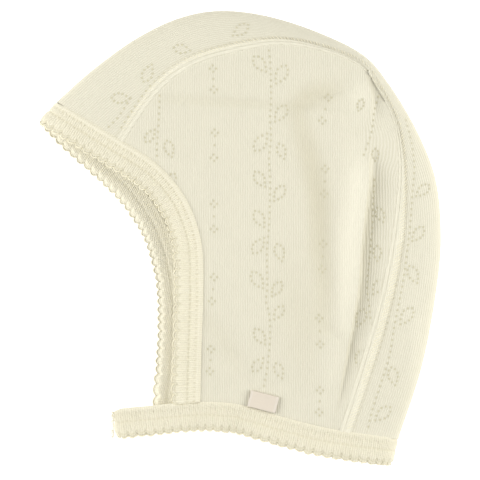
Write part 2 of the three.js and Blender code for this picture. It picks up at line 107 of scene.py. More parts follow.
# Loose fibres
FIBRES_AT_STRAP_END = 70
FIBRES_AT_EDGE = 90
FIBRE_RADIUS = 0.07

# The body of air in the bonnet, and how far its two open edges droop, as depth and reach
PILLOW_HEIGHT = 16
PILLOW_REACH = 42
PILLOW_SHAPE = 2.6
FOLD_RADIUS = 2.6
FACE_DROOP = (3.2, 30)
NECK_DROOP = (4.6, 26)

# Lines in the plan
CROWN_FOLD = [
    (-68.6, 51.7), (-55.3, 63.5), (-38.1, 75.8), (-22.3, 83.2), (-8.4, 85.8), (8.8, 84.2), (30.2, 77.5),
    (47.3, 68.6), (55.9, 58.6), (67.3, 39.3), (73.7, 22.1), (75.6, -0.2), (73.7, -20.3), (68.4, -47.8),
    (59.6, -74.9),
]
FOREHEAD_FOLD_END = (-75.5, 43.9)
NAPE_FOLD_END = (56.8, -85.4)
FACE_EDGE_UPPER = [
    (-68.6, 51.7), (-57.0, 44.4), (-44.1, 36.5), (-32.4, 29.0), (-24.5, 21.1), (-18.5, 11.3), (-14.7, -1.3),
    (-14.0, -17.4), (-14.6, -40.3), (-15.2, -61.0),
]
FACE_EDGE_LOWER = [
    (-68.6, 51.7), (-58.8, 41.4), (-43.2, 27.3), (-35.2, 18.6), (-27.5, 6.7), (-22.8, -6.7), (-20.6, -19.7),
    (-20.6, -40.3), (-22.6, -61.4),
]

# The way across the face band where each of its sides ends at the neck band
FACE_BAND_ENDS = {"lower": (-0.99, -0.14), "upper": (-0.997, -0.08)}

# The seams, which start on the face edges at a distance from the forehead
SEAM_START = 29
SEAM_UPPER = [
    (-38.1, 45.6), (-29.6, 56.6), (-18.2, 65.2), (0.2, 71.1), (17.4, 73.3), (34.7, 69.8), (46.4, 64.2),
    (51.2, 57.2), (57.6, 44.5), (59.6, 29.9), (58.2, 8.3), (53.3, -19.1), (45.0, -48.4), (37.8, -71.9),
]
SEAM_LOWER = [
    (-38.0, 43.0), (-24.0, 52.0), (-6.0, 57.5), (14.0, 53.5), (28.0, 44.0), (40.0, 28.0), (48.5, 5.0),
    (50.2, -15.5), (46.5, -41.0), (37.8, -71.9),
]
NECK_EDGE = [
    (-47.3, -64.2), (-35.5, -63.1), (-25.7, -62.0), (-15.2, -61.2), (-7.7, -61.4), (0.2, -62.3),
    (14.4, -66.4), (32.3, -70.9), (46.1, -73.1), (59.6, -74.9),
]

# The pleat's edge: x, y, how far the cloth stands over the strip beside it, and how wide the drop is
PLEAT = [
    (45.0, 65.0, 0.0, 1.2), (48.7, 58.5, 1.2, 1.2), (49.2, 52.5, 1.6, 1.8), (48.3, 46.0, 0.8, 3.0),
    (46.2, 40.5, 0.3, 4.5), (46.6, 34.0, 0.9, 4.5), (48.2, 27.0, 2.2, 2.2), (47.8, 18.6, 2.9, 1.3),
    (46.6, 9.0, 2.9, 1.1), (45.2, -3.5, 2.8, 1.1), (44.3, -17.0, 2.4, 1.1), (42.0, -31.0, 2.0, 1.1),
    (38.4, -50.0, 1.1, 1.2), (34.4, -71.4, 0.0, 1.3),
]
PLEAT_SOFT_SIDE = 12

# The strip beside the pleat sinks towards the pleat's foot, by a share of the pleat's rise
HOLLOW_SHARE = 0.45
HOLLOW_REACH = 6

# The soft valley along the other side of the pleat's swell, with its depth
VALLEY = [
    (39.6, 57.2, 0.3), (32.1, 55.0, 1.6), (25.7, 53.1, 1.8), (22.1, 49.0, 1.4), (23.0, 43.0, 1.3),
    (25.3, 34.4, 1.7), (27.9, 24.2, 2.0), (29.6, 13.0, 2.0), (30.4, -3.9, 1.8), (31.8, -15.2, 1.4),
    (33.0, -26.4, 1.1), (34.4, -37.0, 0.6), (35.4, -46.0, 0.2),
]
VALLEY_REACH = 4.2

# How much painted light lifts the inside of the bonnet and the inner face of the far side's band out of their
# shade
INSIDE_LIGHT = 0.6
FAR_SIDE_LIGHT = 0.72

# Painted shade in the folds and painted light on the pleat's swell, for each millimetre of depth or rise
CREASE_SHADE = 0.035
VALLEY_SHADE = 0.17
SWELL_LIGHT = 0.13
SWELL_AT = 4
TONE_REACH = 5

# Painted shade along the bonnet's fold and painted light beside the seam
FOLD_SHADE = 0.12
FOLD_TONE_REACH = 3
SEAM_LIGHT = 0.2
SEAM_TONE_REACH = 0.8

# How far the needle holes lie from the seam's edge along its length, as shares of the seam and widths
SEAM_WIDTHS = [
    (0.0, 3.0), (0.18, 3.8), (0.36, 2.9), (0.5, 2.7), (0.6, 3.6), (0.7, 5.2), (0.85, 5.3), (1.0, 4.4),
]

# Soft dents and swells: x, y, length, width, turn in degrees, rise
SOFT_FOLDS = [
    (-50, -68, 22, 13, 0, -5.6),
    (-3.6, 51.4, 30, 2.0, -3, -0.8),
    (4.0, 58.0, 20, 5, 0, 0.7),
    (63.0, -36.0, 20, 6, 108, 0.8),
    (24.0, -30.0, 22, 9, 100, -0.8),
    (-7.0, -38.0, 16, 3.5, -55, -0.5),
    (36.0, -36.0, 9, 2.5, -45, -0.5),
]

# The folded tape: the middle of its sewn end, its width, how far it stands out, and its turn in degrees
LABEL = {"x": 8.0, "y": -64.2, "width": 10.8, "height": 6.7, "turn": -14}

# Paints as red, green and blue, which TONE takes to the cloth's tone under this light
TONE = 0.765
# In the knit's and the band's paints, fold is painted shade, light is painted light and between is painted
# shade between the ribs
KNIT_PAINTS = {
    "plain": (0.86, 0.82, 0.665), "patch": (0.885, 0.85, 0.71), "between": (0.64, 0.60, 0.42),
    "fold": (0.60, 0.545, 0.36), "light": (1.13, 1.085, 0.89),
}
BAND_PAINTS = {
    "plain": (0.94, 0.885, 0.69), "patch": (0.965, 0.92, 0.745), "between": (0.68, 0.62, 0.43),
    "fold": (0.66, 0.60, 0.40), "light": (1.22, 1.16, 0.94),
}
THREAD_PAINTS = {"plain": (1.0, 0.935, 0.70), "strand": (1.12, 1.055, 0.83)}
# The eyelets' paints are painted shade, for the dark seen through each hole
EYELET_PAINTS = {"plain": (0.62, 0.575, 0.38), "fibre": (0.76, 0.71, 0.51)}
TAPE_PAINTS = {"plain": (0.82, 0.735, 0.61), "selvedge": (0.85, 0.775, 0.66), "between": (0.64, 0.55, 0.45)}

# Two soft boxes: name, place in metres, size and power
LAMPS = [
    ("left", (-0.95, 0.1, 0.55), 0.7, 9.2),
    ("right", (0.9, 0.0, 0.7), 0.7, 9.8),
]
WORLD_LIGHT = 0.62

# The floor: half its width in metres, how far it lies below the bonnet in millimetres, and its glow
FLOOR_REACH = 1.6
FLOOR_BELOW = 0.4
FLOOR_GLOW = 0.45

# The camera, in metres: how far off it is, what it takes in across, and the height that it is set for
CAMERA_DISTANCE = 3.0
CAMERA_ACROSS = 0.180
CAMERA_FOCUS = 0.006
CAMERA_MIDDLE = (0.00013, -0.00058)

# The pointelle is charted on squares of 0.375 mm that are counted from the chart's top left corner
CHART_SQUARE = 0.375
CHART_MIDDLE = (239.5, 239.6)

# Stems, as lines of eyelets
PANEL_STEMS = [
    [(268, 45), (270, 61), (271, 95), (270, 120), (271, 138), (269, 158), (270, 180), (269, 225),
     (267, 250), (267, 290), (266, 301), (269, 313), (270, 335), (267, 370), (263, 390)],
    [(160, 90), (159, 120), (157, 150), (158, 168)],
    [(378, 97), (374, 112), (372, 129), (368, 143), (363, 156)],
    [(374, 180), (372, 228), (367, 290), (369, 306), (371, 330)],
]
CENTRE_STEMS = [
    [(406, 120), (411, 141), (414, 165), (412, 195), (410, 223), (407, 250), (402, 285), (394, 326),
     (389, 356), (381, 382), (372, 410), (366, 436)],
    [(109, 127), (118, 118), (126, 106), (131, 98)],
]

# Leaves, from the tip to the far end
PANEL_LEAVES = [
    (276, 84, 286, 66), (275, 122, 286, 106), (284, 159, 279, 144), (274, 201, 284, 186),
    (282, 261, 277, 244), (272, 296, 281, 282), (274, 319, 283, 306), (282, 378, 276, 363),
    (266, 72, 254, 57), (267, 134, 255, 151), (265, 187, 255, 172), (264, 227, 255, 211),
    (264, 238, 253, 253), (263, 288, 252, 272), (265, 344, 255, 329), (263, 358, 253, 371),
    (155, 130, 146, 142), (172, 157, 167, 141), (165, 189, 175, 174),
    (375, 161, 375, 149), (358, 111, 362, 100), (377, 261, 377, 246), (373, 294, 381, 280),
    (383, 222, 377, 208), (357, 326, 364, 309), (357, 366, 362, 350),
]
CENTRE_LEAVES = [
    (130, 99, 112, 98), (152, 65, 144, 82), (190, 51, 174, 48), (233, 36, 248, 25),
    (416, 196, 429, 185), (412, 241, 423, 227), (417, 283, 409, 266), (400, 324, 412, 308),
    (395, 385, 391, 367), (375, 420, 390, 407),
]

# Half a leaf's width as a share of its length, and where along it the pairs of eyelets lie
LEAF_HALF_WIDTH = 0.27
LEAF_SHARES = (0.25, 0.53, 0.81)
LONG_LEAF = 16.5
LONG_LEAF_SHARES = (0.2, 0.42, 0.64, 0.86)

# Buds: small rings of four eyelets, with one eyelet between the two rings of a pair
BUD_PAIRS = [
    (213, 69, 214, 90), (215, 133, 214, 158), (214, 204, 214, 229), (214, 277, 212, 301),
    (211, 349, 210, 371), (328, 98, 322, 121), (325, 169, 324, 194), (323, 244, 322, 269),
    (319, 318, 320, 344), (320, 390, 319, 412),
]
BUD_HALF = 3.1


# Lines in plan

def smooth(value):
    value = np.clip(value, 0, 1)
    return value ** 2 * (3 - 2 * value)


def fade(distance, reach):
    """1 at no distance, and less and less over the reach."""
    return np.exp(-(distance / reach) ** 2)


class Line:
    """A centripetal spline through a table's rows, read by distance or by share of its length."""

    def __init__(self, rows, steps=160):
        points = np.array([row[:2] for row in rows], float)
        ends = [2 * points[0] - points[1], 2 * points[-1] - points[-2]]
        knots = np.vstack([ends[0], points, ends[1]])
        dense = []
        for a, b, c, d in zip(knots, knots[1:], knots[2:], knots[3:]):
            spans = [np.linalg.norm(q - p) ** 0.5 for p, q in ((a, b), (b, c), (c, d))]
            start = ((b - a) / spans[0] - (c - a) / (spans[0] + spans[1]) + (c - b) / spans[1]) * spans[1]
            end = ((c - b) / spans[1] - (d - b) / (spans[1] + spans[2]) + (d - c) / spans[2]) * spans[1]
            t = np.linspace(0, 1, steps, endpoint=False)[:, None]
            curve = b + start * t + (3 * (c - b) - 2 * start - end) * t ** 2
            dense.append(curve + (2 * (b - c) + start + end) * t ** 3)
        self.points = np.vstack(dense + [points[-1:]])
        steps_long = np.linalg.norm(np.diff(self.points, axis=0), axis=1)
        self.distances = np.concatenate([[0], np.cumsum(steps_long)])
        self.length = self.distances[-1]
        self.row_shares = self.distances[::steps] / self.length

    def at(self, distance):
        x = np.interp(distance, self.distances, self.points[:, 0])
        y = np.interp(distance, self.distances, self.points[:, 1])
        return np.stack([x, y], -1)

    def share(self, share):
        return self.at(np.asarray(share) * self.length)

    def along(self, distance):
        way = self.at(np.asarray(distance) + 0.4) - self.at(np.asarray(distance) - 0.4)
        return way / np.linalg.norm(way, axis=-1, keepdims=True)

    def trace(self, count):
        return self.share(np.linspace(0, 1, count + 1))

    def read(self, share, table, column):
        """A table's column between its rows, at a share of the line's length."""
        return np.interp(share, self.row_shares, [row[column] for row in table])


def nearest(traced, x, y):
    """Distance to a traced line, whether the point is on its left, and the share of the line there."""
    best = np.full(np.shape(x), np.inf)
    left = np.zeros(np.shape(x), bool)
    share = np.zeros(np.shape(x))
    for i, (a, b) in enumerate(zip(traced, traced[1:])):
        dx, dy = b - a
        t = np.clip(((x - a[0]) * dx + (y - a[1]) * dy) / (dx * dx + dy * dy), 0, 1)
        distance = np.hypot(x - a[0] - t * dx, y - a[1] - t * dy)
        closer = distance < best
        best = np.where(closer, distance, best)
        left = np.where(closer, dx * (y - a[1]) - dy * (x - a[0]) > 0, left)
        share = np.where(closer, (i + t) / (len(traced) - 1), share)
    return best, left, share


crown_fold = Line(CROWN_FOLD)
face_upper = Line(FACE_EDGE_UPPER)
face_lower = Line(FACE_EDGE_LOWER)
seam_upper = Line([face_upper.at(SEAM_START), *SEAM_UPPER])
seam_lower = Line([face_lower.at(SEAM_START), *SEAM_LOWER])
neck_edge = Line(NECK_EDGE)
pleat_line = Line(PLEAT)
fold_trace = np.vstack([[FOREHEAD_FOLD_END], crown_fold.trace(120), [NAPE_FOLD_END]])
face_trace = face_upper.trace(60)
neck_trace = neck_edge.trace(60)
pleat_trace = pleat_line.trace(90)
valley_line = Line(VALLEY)
valley_trace = valley_line.trace(60)
seam_trace = seam_upper.trace(100)


def place_on(line, point):
    return nearest(line.trace(400), *np.array(point, float))[2] * line.length


def allowance_at(share):
    """How far the needle holes lie from the seam's edge, at a share of the seam."""
    return np.interp(share, *zip(*SEAM_WIDTHS))


# Heights

def soft_folds(x, y):
    total = np.zeros(np.shape(x))
    for fold_x, fold_y, long, wide, turn, rise in SOFT_FOLDS:
        cosine, sine = math.cos(math.radians(turn)), math.sin(math.radians(turn))
        along = ((x - fold_x) * cosine + (y - fold_y) * sine) / long
        across = ((y - fold_y) * cosine - (x - fold_x) * sine) / wide
        total = total + rise * np.exp(-along ** 2 - across ** 2)
    return total


def pleat(x, y):
    """The pleat's rise, which drops at once on the strip's side and runs out softly on the other."""
    distance, left, share = nearest(pleat_trace, x, y)
    rise = pleat_line.read(share, PLEAT, 2)
    dropped = smooth(distance / pleat_line.read(share, PLEAT, 3))
    above_neck = smooth(nearest(neck_trace, x, y)[0] / 14)
    hollow = HOLLOW_SHARE * rise * dropped * fade(distance, HOLLOW_REACH) * above_neck
    soft = rise * fade(distance, PLEAT_SOFT_SIDE)
    from_seam, on_centre, _ = nearest(seam_trace, x, y)
    beside = np.where(left, rise * (1 - dropped) - hollow, soft)
    return np.where(on_centre, 0, beside * smooth(from_seam / 4))


def valley(x, y):
    distance, _, share = nearest(valley_trace, x, y)
    return -valley_line.read(share, VALLEY, 2) * fade(distance, VALLEY_REACH)


def fold_shade(x, y):
    """How much painted shade the folds get, and below 0, how much painted light the pleat's swell and the
    cloth beside the seam get.
    """
    distance, left, share = nearest(pleat_trace, x, y)
    rise = pleat_line.read(share, PLEAT, 2)
    crease = CREASE_SHADE * rise * fade(distance, TONE_REACH)
    swell = SWELL_LIGHT * rise * fade(distance - SWELL_AT, TONE_REACH)
    sunk = np.maximum(-soft_folds(x, y), 0)
    beside_seam = SEAM_LIGHT * fade(nearest(seam_trace, x, y)[0], SEAM_TONE_REACH)
    return np.where(left, crease, -swell) + VALLEY_SHADE * (sunk - valley(x, y)) - beside_seam


def waves(x, y, rows):
    """Smooth random relief with the rise, wave length and seed that each row states."""
    return sum(rise * wool(x, y, wave, seed) for rise, wave, seed in rows)


def wool(x, y, wave, seed):
    """Smooth random relief between about -1 and 1, with waves of about the given length."""
    turns = np.random.default_rng(seed)
    total = 0
    for _ in range(9):
        angle, start = turns.uniform(0, 2 * math.pi, 2)
        pace = 2 * math.pi / wave * turns.uniform(0.6, 1.5)
        total = total + np.sin(pace * (x * math.cos(angle) + y * math.sin(angle)) + start)
    return total / 4.5


def upper_height(x, y):
    """The height of the cloth's outer face on the upper side."""
    inward = nearest(fold_trace, x, y)[0]
    share = np.clip(inward / PILLOW_REACH, 0, 1)
    pillow = (1 - (1 - share) ** 2) ** (1 / PILLOW_SHAPE)
    face = FACE_DROOP[0] * fade(nearest(face_trace, x, y)[0], FACE_DROOP[1])
    neck = NECK_DROOP[0] * fade(nearest(neck_trace, x, y)[0], NECK_DROOP[1])
    cloth = (soft_folds(x, y) + pleat(x, y) + valley(x, y)) * smooth(inward / 6)
    loose = waves(x, y, CLOTH_WAVES)
    droop = (face + neck) * smooth(inward / PILLOW_REACH)
    return FOLD_RADIUS + (PILLOW_HEIGHT - FOLD_RADIUS) * pillow - droop + cloth + loose * smooth(inward / 6)


def lower_height(inward):
    short = np.maximum(FOLD_RADIUS - inward, 0)
    return FOLD_RADIUS - np.sqrt(FOLD_RADIUS ** 2 - short ** 2)


# The pointelle chart

def charted(rows):
    """From the chart's squares to the plan."""
    rows = np.array(rows, float)
    return (rows - CHART_MIDDLE) * (CHART_SQUARE, -CHART_SQUARE)


def leaf(tip_x, tip_y, end_x, end_y):
    """Eyelets in the outline of a leaf, pointed at its tip and round at its end."""
    tip, end = np.array([tip_x, tip_y]), np.array([end_x, end_y])
    way = (end - tip) / np.linalg.norm(end - tip)
    wide = np.array([-way[1], way[0]])
    long = np.linalg.norm(end - tip)
    found = [tip]
    for share in LONG_LEAF_SHARES if long > LONG_LEAF else LEAF_SHARES:
        half = LEAF_HALF_WIDTH * long * math.sin(math.pi * share ** 1.3) ** 0.7
        found += [tip + (end - tip) * share + side * half * wide for side in (-1, 1)]
    return found + [end]


def eyelets(stems, leaves, buds):
    found = []
    for rows in stems:
        line = Line(rows)
        found += list(line.at(np.arange(0, line.length, EYELET_PITCH / CHART_SQUARE)))
    for row in leaves:
        found += leaf(*row)
    for first_x, first_y, last_x, last_y in buds:
        found.append(np.array([first_x + last_x, first_y + last_y]) / 2)
        for x, y in ((first_x, first_y), (last_x, last_y)):
            for side, up in ((-1, 0), (1, 0), (0.1, 1), (-0.1, -1)):
                found.append(np.array([x + side * BUD_HALF, y + up * BUD_HALF]))
    return charted(found)


def dents(x, y, places):
    """How much each point belongs to an eyelet, from 0 to 1."""
    tree = KDTree(len(places))
    for i, (eyelet_x, eyelet_y) in enumerate(places):
        tree.insert((eyelet_x, eyelet_y, 0), i)
    tree.balance()
    flat = [tree.find((a, b, 0))[2] for a, b in zip(np.ravel(x), np.ravel(y))]
    return fade(np.reshape(flat, np.shape(x)), DENT_RADIUS)


# Meshes

def place(points):
    """From the tables' millimetres to the shared frame's metres."""
    return (np.asarray(points) - np.array([ORIGIN[0], ORIGIN[1], 0])) * MM


def unit(vectors):
    return vectors / np.maximum(np.linalg.norm(vectors, axis=-1, keepdims=True), 1e-9)


def grid_normals(grid, loops=False):
    if loops:
        wrapped = np.concatenate([grid[-1:], grid, grid[:1]])
        along = wrapped[2:] - wrapped[:-2]
    else:
        along = np.gradient(grid, axis=0)
    return unit(np.cross(np.gradient(grid, axis=1), along))


def upper_normals(x, y, step=0.4):
    slope_x = (upper_height(x + step, y) - upper_height(x - step, y)) / (2 * step)
    slope_y = (upper_height(x, y + step) - upper_height(x, y - step)) / (2 * step)
    return unit(np.stack([-slope_x, -slope_y, np.ones_like(slope_x)], -1))


def make(name, vertices, faces, knit, shade, material, rounded=True):
    """A mesh object that rides on the body, with its place in the knit and its shade at each vertex."""
    mesh = bpy.data.meshes.new(name)
    mesh.from_pydata(place(vertices).tolist(), [], faces)
    attribute = mesh.attributes.new("knit", "FLOAT_VECTOR", "POINT")
    attribute.data.foreach_set("vector", np.column_stack([knit, np.zeros(len(knit))]).ravel())
    attribute = mesh.attributes.new("shade", "FLOAT", "POINT")
    attribute.data.foreach_set("value", np.asarray(shade, float))
    mesh.polygons.foreach_set("use_smooth", np.full(len(mesh.polygons), rounded))
    mesh.validate()
    mesh.update()
    mesh.materials.append(MATERIALS[material])
    piece = bpy.data.objects.new(name, mesh)
    bpy.context.scene.collection.objects.link(piece)
    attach(piece, "root")
    return piece


def rim(outer, inner, step, turned):
    """Triangles between a fine outer edge and an inner edge that has every step-th of its points."""
    found = []
    for k in range(len(inner) - 1):
        fine = outer[k * step:(k + 1) * step + 1]
        found += [(a, b, inner[k]) for a, b in zip(fine, fine[1:])]
        found.append((fine[-1], inner[k + 1], inner[k]))
    return [face[::-1] for face in found] if turned else found


def wall(name, outer, inner, knit, shade, slot, step=1, loops=False):
    """A closed cloth wall. inner is a full grid too, of which every step-th row and column is used."""
    rows, columns = outer.shape[:2]
    thin = np.ix_(np.arange(0, rows, step), np.arange(0, columns, step))
    thin_shape = len(thin[0]), len(thin[1][0])
    out = np.arange(rows * columns).reshape(rows, columns)
    inn = rows * columns + np.arange(thin_shape[0] * thin_shape[1]).reshape(thin_shape)
    if loops:
        out = np.vstack([out, out[:1]])
        inn = np.vstack([inn, inn[:1]])

    def quads(ids, turned):
        a, b, c, d = ids[:-1, :-1], ids[:-1, 1:], ids[1:, 1:], ids[1:, :-1]
        order = (d, c, b, a) if turned else (a, b, c, d)
        return np.stack(order, -1).reshape(-1, 4).tolist()

    faces = quads(out, False) + quads(inn, True)
    faces += rim(out[:, 0], inn[:, 0], step, True)
    faces += rim(out[:, -1], inn[:, -1], step, False)
    if not loops:
        faces += rim(out[0], inn[0], step, False)
        faces += rim(out[-1], inn[-1], step, True)
    vertices = np.concatenate([outer.reshape(-1, 3), inner[thin].reshape(-1, 3)])
    knit = np.concatenate([knit.reshape(-1, 2), knit[thin].reshape(-1, 2)])
    # The inner faces get painted light
    shade = np.concatenate([shade.ravel(), np.full(thin_shape[0] * thin_shape[1], -INSIDE_LIGHT)])
    return make(name, vertices, faces, knit, shade, slot)


def threads(name, routes, radius, material="thread", sides=6, loops=False):
    """Round threads along routes of points, joined as one mesh."""
    vertices, faces, knit = [], [], []
    turns = np.linspace(0, 2 * math.pi, sides, endpoint=False)
    for route in routes:
        route = np.asarray(route, float)
        count, start = len(route), len(vertices)
        way = np.roll(route, -1, 0) - np.roll(route, 1, 0) if loops else np.gradient(route, axis=0)
        way = unit(way)
        side = unit(np.cross(way, [0.05, 0.1, 1.0]))
        up = np.cross(side, way)
        distance = np.concatenate([[0], np.cumsum(np.linalg.norm(np.diff(route, axis=0), axis=1))])
        for k in range(count):
            at_end = not loops and k in (0, count - 1)
            reach = radius * (0.45 if at_end else 1)
            for turn in turns:
                vertices.append(route[k] + reach * (math.cos(turn) * side[k] + math.sin(turn) * up[k]))
                knit.append((distance[k], turn))
        for k in range(count if loops else count - 1):
            here, there = start + k * sides, start + (k + 1) % count * sides
            for i in range(sides):
                after = (i + 1) % sides
                faces.append((here + i, there + i, there + after, here + after))
        if not loops:
            faces.append(tuple(start + i for i in range(sides)))
            faces.append(tuple(start + (count - 1) * sides + i for i in reversed(range(sides))))
    return make(name, vertices, faces, knit, np.zeros(len(vertices)), material)


def eyelet_rings(name, places, height, ways):
    """The yarn round each eyelet, and a dark disc of painted shade in its middle for the hole, each as one
    joined mesh.
    """
    normals = upper_normals(*places.T)
    turns = np.linspace(0, 2 * math.pi, 9, endpoint=False)
    routes, vertices, faces, knit = [], [], [], []
    for (x, y), z, normal, way in zip(places, height, normals, ways):
        middle = np.array([x, y, z])
        long = unit(way - normal * np.dot(way, normal))
        wide = np.cross(normal, long)
        ring = [middle + math.cos(a) * EYELET_WIDE * wide + math.sin(a) * EYELET_LONG * long for a in turns]
        routes.append(ring)
        start = len(vertices)
        # Each hole is a dark disc of painted shade, not an opening in the cloth
        hole = [middle + 0.9 * (point - middle) + 0.03 * normal for point in ring]
        vertices += hole + [middle + 0.03 * normal, middle - 0.12 * normal]
        knit += [(x, y)] * (len(turns) + 2)
        for i in range(len(turns)):
            after = start + (i + 1) % len(turns)
            faces.append((start + i, after, start + len(turns)))
            faces.append((after, start + i, start + len(turns) + 1))
    threads(name + "_yarn", routes, EYELET_YARN, "pointelle_knit", sides=4, loops=True)
    shade = np.ones(len(vertices))
    make(name + "_holes", vertices, faces, knit, shade, "eyelet_shade", rounded=False)


# Materials

class Nodes:
    """Short calls for building a material's node tree."""

    def __init__(self, name):
        self.material = bpy.data.materials.new(name)
        self.material.use_nodes = True
        self.tree = self.material.node_tree
        self.shader = self.tree.nodes["Principled BSDF"]
        self.knit = self.attribute("knit").outputs["Vector"]
        shade = self.attribute("shade").outputs["Fac"]
        # The shade attribute above 0 mixes in painted shade, and below 0 painted light
        self.painted_shade = self.math("MAXIMUM", shade, 0.0)
        self.painted_light = self.math("MAXIMUM", self.times(shade, -1.0), 0.0)
        split = self.add("ShaderNodeSeparateXYZ")
        self.feed(split.inputs[0], self.knit)
        self.across, self.along = split.outputs[0], split.outputs[1]

    def add(self, kind, **settings):
        node = self.tree.nodes.new(kind)
        for key, value in settings.items():
            setattr(node, key, value)
        return node

    def feed(self, socket, value):
        if isinstance(value, bpy.types.NodeSocket):
            self.tree.links.new(value, socket)
        else:
            socket.default_value = value

    def math(self, operation, a, b=0.0):
        node = self.add("ShaderNodeMath", operation=operation)
        self.feed(node.inputs[0], a)
        self.feed(node.inputs[1], b)
        return node.outputs[0]

    def times(self, a, b):
        return self.math("MULTIPLY", a, b)

    def plus(self, a, b):
        return self.math("ADD", a, b)

    def attribute(self, name):
        return self.add("ShaderNodeAttribute", attribute_name=name)

    def noise(self, scale, detail=2.0, vector=None):
        node = self.add("ShaderNodeTexNoise")
        self.feed(node.inputs["Vector"], vector or self.knit)
        node.inputs["Scale"].default_value = scale
        node.inputs["Detail"].default_value = detail
        return node.outputs["Fac"]

    def mix(self, share, a, b):
        node = self.add("ShaderNodeMix", data_type="RGBA")
        self.feed(node.inputs[0], share)
        self.feed(node.inputs[6], a)
        self.feed(node.inputs[7], b)
        return node.outputs[2]

    def wave(self, value, pitch):
        """A smooth wave from 0 to 1, one for each pitch."""
        turned = self.times(value, 2 * math.pi / pitch)
        return self.plus(self.times(self.math("COSINE", turned), 0.5), 0.5)

    def finish(self, colour, height, depth, strength, roughness=0.92, sheen=0.05):
        bump = self.add("ShaderNodeBump")
        bump.inputs["Strength"].default_value = strength
        bump.inputs["Distance"].default_value = depth * MM
        self.feed(bump.inputs["Height"], height)
        self.feed(self.shader.inputs["Normal"], bump.outputs[0])
        self.feed(self.shader.inputs["Base Color"], colour)
        self.shader.inputs["Roughness"].default_value = roughness
        self.shader.inputs["Specular IOR Level"].default_value = 0.12
        self.shader.inputs["Sheen Weight"].default_value = sheen
        self.shader.inputs["Sheen Roughness"].default_value = 0.6
        return self.material


def toned(paints):
    return {name: (*(value * TONE for value in row), 1) for name, row in paints.items()}


def knit_material():
    """Fine knit: upright wales, slanted stitches in them and loose fibres over them."""
    nodes = Nodes("pointelle_knit")
    paint = toned(KNIT_PAINTS)
    wobble = nodes.plus(nodes.noise(0.35), -0.5)
    across = nodes.plus(nodes.across, nodes.times(wobble, 0.6))
    rib = nodes.wave(across, WALE_PITCH)
    slant = nodes.math("PINGPONG", across, WALE_PITCH / 2)
    stitch = nodes.wave(nodes.plus(nodes.along, nodes.times(slant, 0.9)), COURSE_PITCH)
    patch = nodes.noise(0.16, 3.0)
    fibre = nodes.noise(3.2, 4.0)
    body = nodes.times(rib, nodes.plus(nodes.times(stitch, 0.35), 0.65))
    height = nodes.plus(body, nodes.times(fibre, 0.6))
    # Painted shade between the wales, broken up by patches and fibres
    valley = nodes.plus(nodes.times(rib, -1.0), 1.0)
    depth = nodes.times(valley, nodes.plus(nodes.times(patch, 0.5), 0.16))
    depth = nodes.plus(depth, nodes.times(nodes.plus(fibre, -0.5), 0.5))
    colour = nodes.mix(patch, paint["plain"], paint["patch"])
    colour = nodes.mix(depth, colour, paint["between"])
    colour = nodes.mix(nodes.painted_shade, colour, paint["fold"])
    colour = nodes.mix(nodes.painted_light, colour, paint["light"])
    return nodes.finish(colour, height, 0.22, 0.6)


def band_material():
    """Fleecy ribbed band: the ribs are in the mesh, and the yarn's twist and fleece are here."""
    nodes = Nodes("ribbed_band")
    paint = toned(BAND_PAINTS)
    rib = nodes.wave(nodes.across, RIB_PITCH)
    stitch = nodes.wave(nodes.plus(nodes.along, nodes.times(nodes.across, 0.25)), 0.7)
    fleece = nodes.noise(1.7, 5.0)
    patch = nodes.noise(0.22, 3.0)
    height = nodes.plus(nodes.times(stitch, 0.35), fleece)
    # Painted shade between the ribs, broken up by the fleece
    valley = nodes.plus(nodes.times(rib, -1.0), 1.0)
    depth = nodes.times(valley, nodes.plus(nodes.times(fleece, 0.7), -0.1))
    colour = nodes.mix(patch, paint["plain"], paint["patch"])
    colour = nodes.mix(depth, colour, paint["between"])
    colour = nodes.mix(nodes.painted_shade, colour, paint["fold"])
    colour = nodes.mix(nodes.painted_light, colour, paint["light"])
    return nodes.finish(colour, height, 0.3, 0.6)


def thread_material():
    """Twisted thread of the loops and stitches."""
    nodes = Nodes("twisted_thread")
    paint = toned(THREAD_PAINTS)
    strand = nodes.wave(nodes.plus(nodes.across, nodes.times(nodes.along, 0.11)), 0.42)
    colour = nodes.mix(strand, paint["plain"], paint["strand"])
    return nodes.finish(colour, strand, 0.1, 0.6)


def eyelet_material():
    """The shade inside an eyelet, broken up by fibres."""
    nodes = Nodes("eyelet_shade")
    paint = toned(EYELET_PAINTS)
    fibre = nodes.noise(4.0, 3.0)
    colour = nodes.mix(fibre, paint["plain"], paint["fibre"])
    return nodes.finish(colour, fibre, 0.1, 0.4)


def tape_material():
    """Plain woven tape: fine warp and weft, with lighter selvedges along its two sides."""
    nodes = Nodes("woven_tape")
    paint = toned(TAPE_PAINTS)
    weave = nodes.times(nodes.wave(nodes.across, 0.3), nodes.wave(nodes.along, 0.26))
    edge = nodes.plus(nodes.math("ABSOLUTE", nodes.across), 1.0 - LABEL["width"] / 2)
    selvedge = nodes.math("MINIMUM", nodes.math("MAXIMUM", nodes.times(edge, 5.0), 0.0), 1.0)
    colour = nodes.mix(selvedge, paint["plain"], paint["selvedge"])
    colour = nodes.mix(nodes.times(weave, 0.2), colour, paint["between"])
    return nodes.finish(colour, weave, 0.08, 0.5, roughness=0.7, sheen=0.1)


# Panels

def patch(left, right, bottom, top, s, t):
    """A four-sided patch between four lines that are read by share. s and t are flat lists of shares."""
    s_wide, t_high = np.meshgrid(s, t)
    sides = [left(t)[:, None], right(t)[:, None], bottom(s)[None], top(s)[None]]
    corners = [left(np.zeros(1)), right(np.zeros(1)), left(np.ones(1)), right(np.ones(1))]
    s_wide, t_high = s_wide[..., None], t_high[..., None]
    mixed = (1 - s_wide) * sides[0] + s_wide * sides[1] + (1 - t_high) * sides[2] + t_high * sides[3]
    mixed = mixed - (1 - s_wide) * (1 - t_high) * corners[0] - s_wide * (1 - t_high) * corners[1]
    return mixed - (1 - s_wide) * t_high * corners[2] - s_wide * t_high * corners[3]


def stretch(line, start, end):
    return lambda share: line.at(start + (end - start) * np.asarray(share, float))


